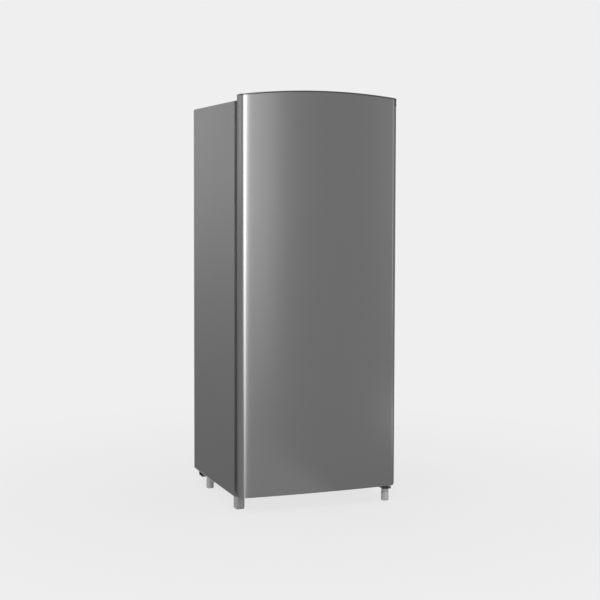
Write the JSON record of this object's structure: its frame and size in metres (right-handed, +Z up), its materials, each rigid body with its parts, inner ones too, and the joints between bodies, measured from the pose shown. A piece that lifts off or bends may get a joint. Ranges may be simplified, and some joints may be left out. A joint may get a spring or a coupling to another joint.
{
  "type": "single door refrigerator",
  "caption": "Tall silver single-door refrigerator with a bowed, arch-topped door hinged at the right, an inner freezer box, glass shelves, crisper and rear condenser.",
  "frame": {"origin": "on the floor, under the middle of the object's overall width and depth, with the door shut", "axes": "+Z up, -Y out of the door, +X to the right seen from the front, towards the hinge side"},
  "size_m": [0.482, 0.5116, 1.1867],
  "materials": {
    "silver_steel": "satin",
    "galvanised_steel": "satin",
    "rail_steel": "satin",
    "black_steel": "satin",
    "dark_plastic": "matte",
    "white_plastic": "satin",
    "clear_plastic": "gloss",
    "shelf_glass": "gloss",
    "foam": "matte",
    "grey_rubber": "matte",
    "black_rubber": "matte",
    "evaporator_metal": "satin",
    "copper": "satin",
    "foot_plastic": "matte"
  },
  "bodies": {
    "cabinet": {"cabinet_shell": "silver_steel", "base_panel": "galvanised_steel", "cabinet_liner": "white_plastic", "shelf_rails": "white_plastic", "cabinet_foam": "foam", "rear_panel": "galvanised_steel", "base_rails": "rail_steel", "compressor_plate": "black_steel", "compressor": "black_steel", "compressor_mounts": "black_rubber", "relay_cover": "dark_plastic", "cord_grommet": "black_rubber", "evaporation_tray": "white_plastic", "drain_tube": "white_plastic", "condenser_tube": "black_steel", "condenser_wires": "black_steel", "condenser_clips": "dark_plastic", "filter_drier": "copper", "refrigerant_tubes": "copper", "evaporator": "evaporator_metal", "evaporator_spacers": "white_plastic", "freezer_frame": "white_plastic", "chiller_rails": "white_plastic", "lower_shelf": "shelf_glass", "middle_shelf": "shelf_glass", "upper_shelf": "shelf_glass", "crisper_cover": "shelf_glass", "shelf_trims": "white_plastic", "thermostat_housing": "white_plastic", "lamp_cover": "clear_plastic", "lamp": "shelf_glass", "top_hinge_bracket": "rail_steel", "top_hinge_pin": "rail_steel", "top_hinge_cover": "dark_plastic", "bottom_hinge_bracket": "rail_steel", "bottom_hinge_pin": "rail_steel", "hinge_screws": "rail_steel", "front_left_foot": "foot_plastic", "foot_lock_nut": "dark_plastic", "rear_feet": "foot_plastic"},
    "door": {"door_panel": "silver_steel", "door_top_cap": "dark_plastic", "door_bottom_cap": "dark_plastic", "hinge_bushes": "white_plastic", "door_grip": "dark_plastic", "door_liner": "white_plastic", "door_foam": "foam", "door_frame_foam": "foam", "door_gasket": "grey_rubber", "bottle_bin": "clear_plastic", "lower_door_bin": "clear_plastic", "middle_door_bin": "clear_plastic", "upper_door_bin": "clear_plastic"},
    "freezer_flap": {"freezer_flap": "white_plastic"},
    "chiller_tray": {"chiller_tray": "clear_plastic"},
    "crisper_drawer": {"crisper_drawer": "clear_plastic"},
    "thermostat_knob": {"thermostat_knob": "white_plastic"},
    "switch_plunger": {"switch_plunger": "white_plastic"},
    "front_right_foot": {"front_right_foot": "foot_plastic"}
  },
  "joints": [
    {"name": "door_hinge", "type": "hinge", "parent": "cabinet", "child": "door", "pos_m": [0.222, -0.2202, 0.6], "axis": [0, 0, 1], "range_deg": [0, 120]},
    {"name": "freezer_flap_hinge", "type": "hinge", "parent": "cabinet", "child": "freezer_flap", "pos_m": [0.178, -0.1302, 1.03], "axis": [0, 0, 1], "range_deg": [0, 84.1]},
    {"name": "chiller_tray_slide", "type": "slide", "parent": "cabinet", "child": "chiller_tray", "axis": [0, -1, 0], "range_m": [0, 0.116]},
    {"name": "crisper_slide", "type": "slide", "parent": "cabinet", "child": "crisper_drawer", "axis": [0, -1, 0], "range_m": [0, 0.137]},
    {"name": "light_switch", "type": "slide", "parent": "cabinet", "child": "switch_plunger", "axis": [0, -1, 0], "range_m": [0, 0.0051]},
    {"name": "thermostat_turn", "type": "hinge", "parent": "cabinet", "child": "thermostat_knob", "pos_m": [0.168, -0.0702, 0.848], "axis": [-1, 0, 0], "range_deg": [0, 270]},
    {"name": "foot_turn", "type": "hinge", "parent": "cabinet", "child": "front_right_foot", "pos_m": [0.2125, -0.2312, 0.02], "axis": [0, 0, 1], "continuous": true}
  ],
  "couplings": [
    {"joint": "freezer_flap_hinge", "follows": "door_hinge", "ratio": 0.7},
    {"joint": "chiller_tray_slide", "follows": "door_hinge", "m_per_rad": 0.055},
    {"joint": "crisper_slide", "follows": "door_hinge", "m_per_rad": 0.065},
    {"joint": "light_switch", "follows": "door_hinge", "m_per_rad": 0.0024}
  ]
}
